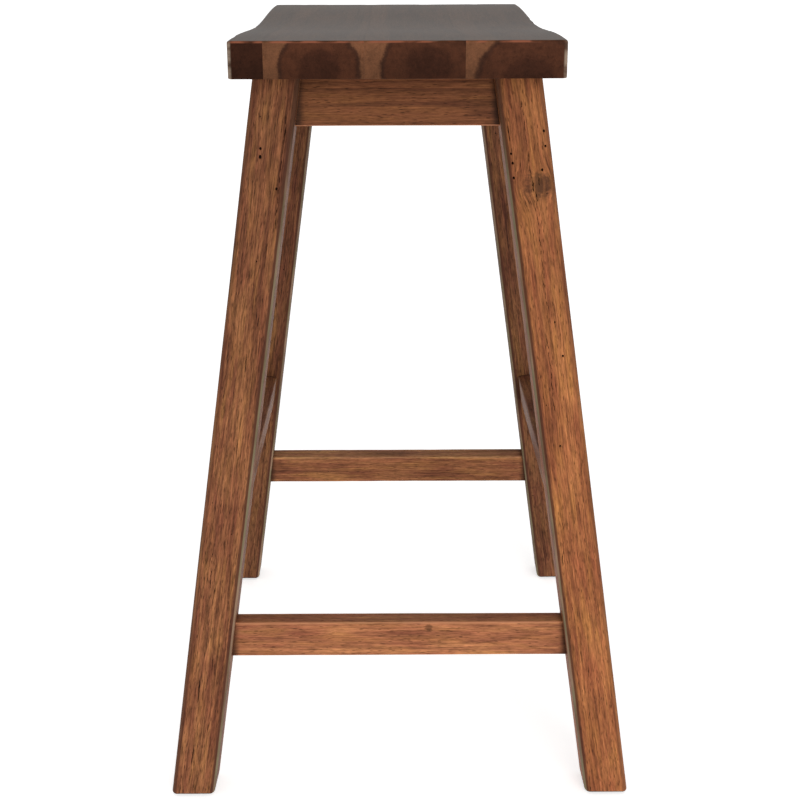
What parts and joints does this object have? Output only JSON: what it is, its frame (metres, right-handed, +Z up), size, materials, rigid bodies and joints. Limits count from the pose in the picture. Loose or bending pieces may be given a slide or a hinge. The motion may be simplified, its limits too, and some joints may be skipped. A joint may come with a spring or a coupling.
{
  "type": "bar stool with footrest",
  "caption": "Saddle-seat wooden bar stool: a dished glued-board seat on splayed square legs, joined by aprons and footrest rails.",
  "frame": {"origin": "on the floor, under the middle of the seat", "axes": "+Z up; X along the long side of the seat; Y along its short side, with the sitter facing -Y"},
  "size_m": [0.446, 0.3782, 0.61],
  "materials": {
    "seat_wood": "dark walnut stain under satin lacquer",
    "frame_wood": "reddish-brown stain, brushed grain, low sheen",
    "block_wood": "unfinished sawn hardwood",
    "screw_steel": "zinc-plated, bright",
    "glide_plastic": "moulded, satin"
  },
  "bodies": {
    "root": {"seat_strip": "seat_wood", "seat_board_1": "seat_wood", "seat_board_2": "seat_wood", "seat_board_3": "seat_wood", "leg_right_back": "frame_wood", "leg_right_front": "frame_wood", "leg_left_back": "frame_wood", "leg_left_front": "frame_wood", "apron_right": "frame_wood", "apron_left": "frame_wood", "apron_back": "frame_wood", "apron_front": "frame_wood", "stretcher_right": "frame_wood", "stretcher_left": "frame_wood", "footrest_back": "frame_wood", "footrest_front": "frame_wood", "corner_block_right_back": "block_wood", "corner_block_right_front": "block_wood", "corner_block_left_back": "block_wood", "corner_block_left_front": "block_wood", "seat_screw_right_back": "screw_steel", "seat_screw_right_front": "screw_steel", "seat_screw_left_back": "screw_steel", "seat_screw_left_front": "screw_steel", "end_screw_right_back": "screw_steel", "end_screw_right_front": "screw_steel", "end_screw_left_back": "screw_steel", "end_screw_left_front": "screw_steel", "side_screw_right_back": "screw_steel", "side_screw_right_front": "screw_steel", "side_screw_left_back": "screw_steel", "side_screw_left_front": "screw_steel", "glide_right_back": "glide_plastic", "glide_right_front": "glide_plastic", "glide_left_back": "glide_plastic", "glide_left_front": "glide_plastic", "glide_nail_right_back": "screw_steel", "glide_nail_right_front": "screw_steel", "glide_nail_left_back": "screw_steel", "glide_nail_left_front": "screw_steel"}
  },
  "joints": []
}
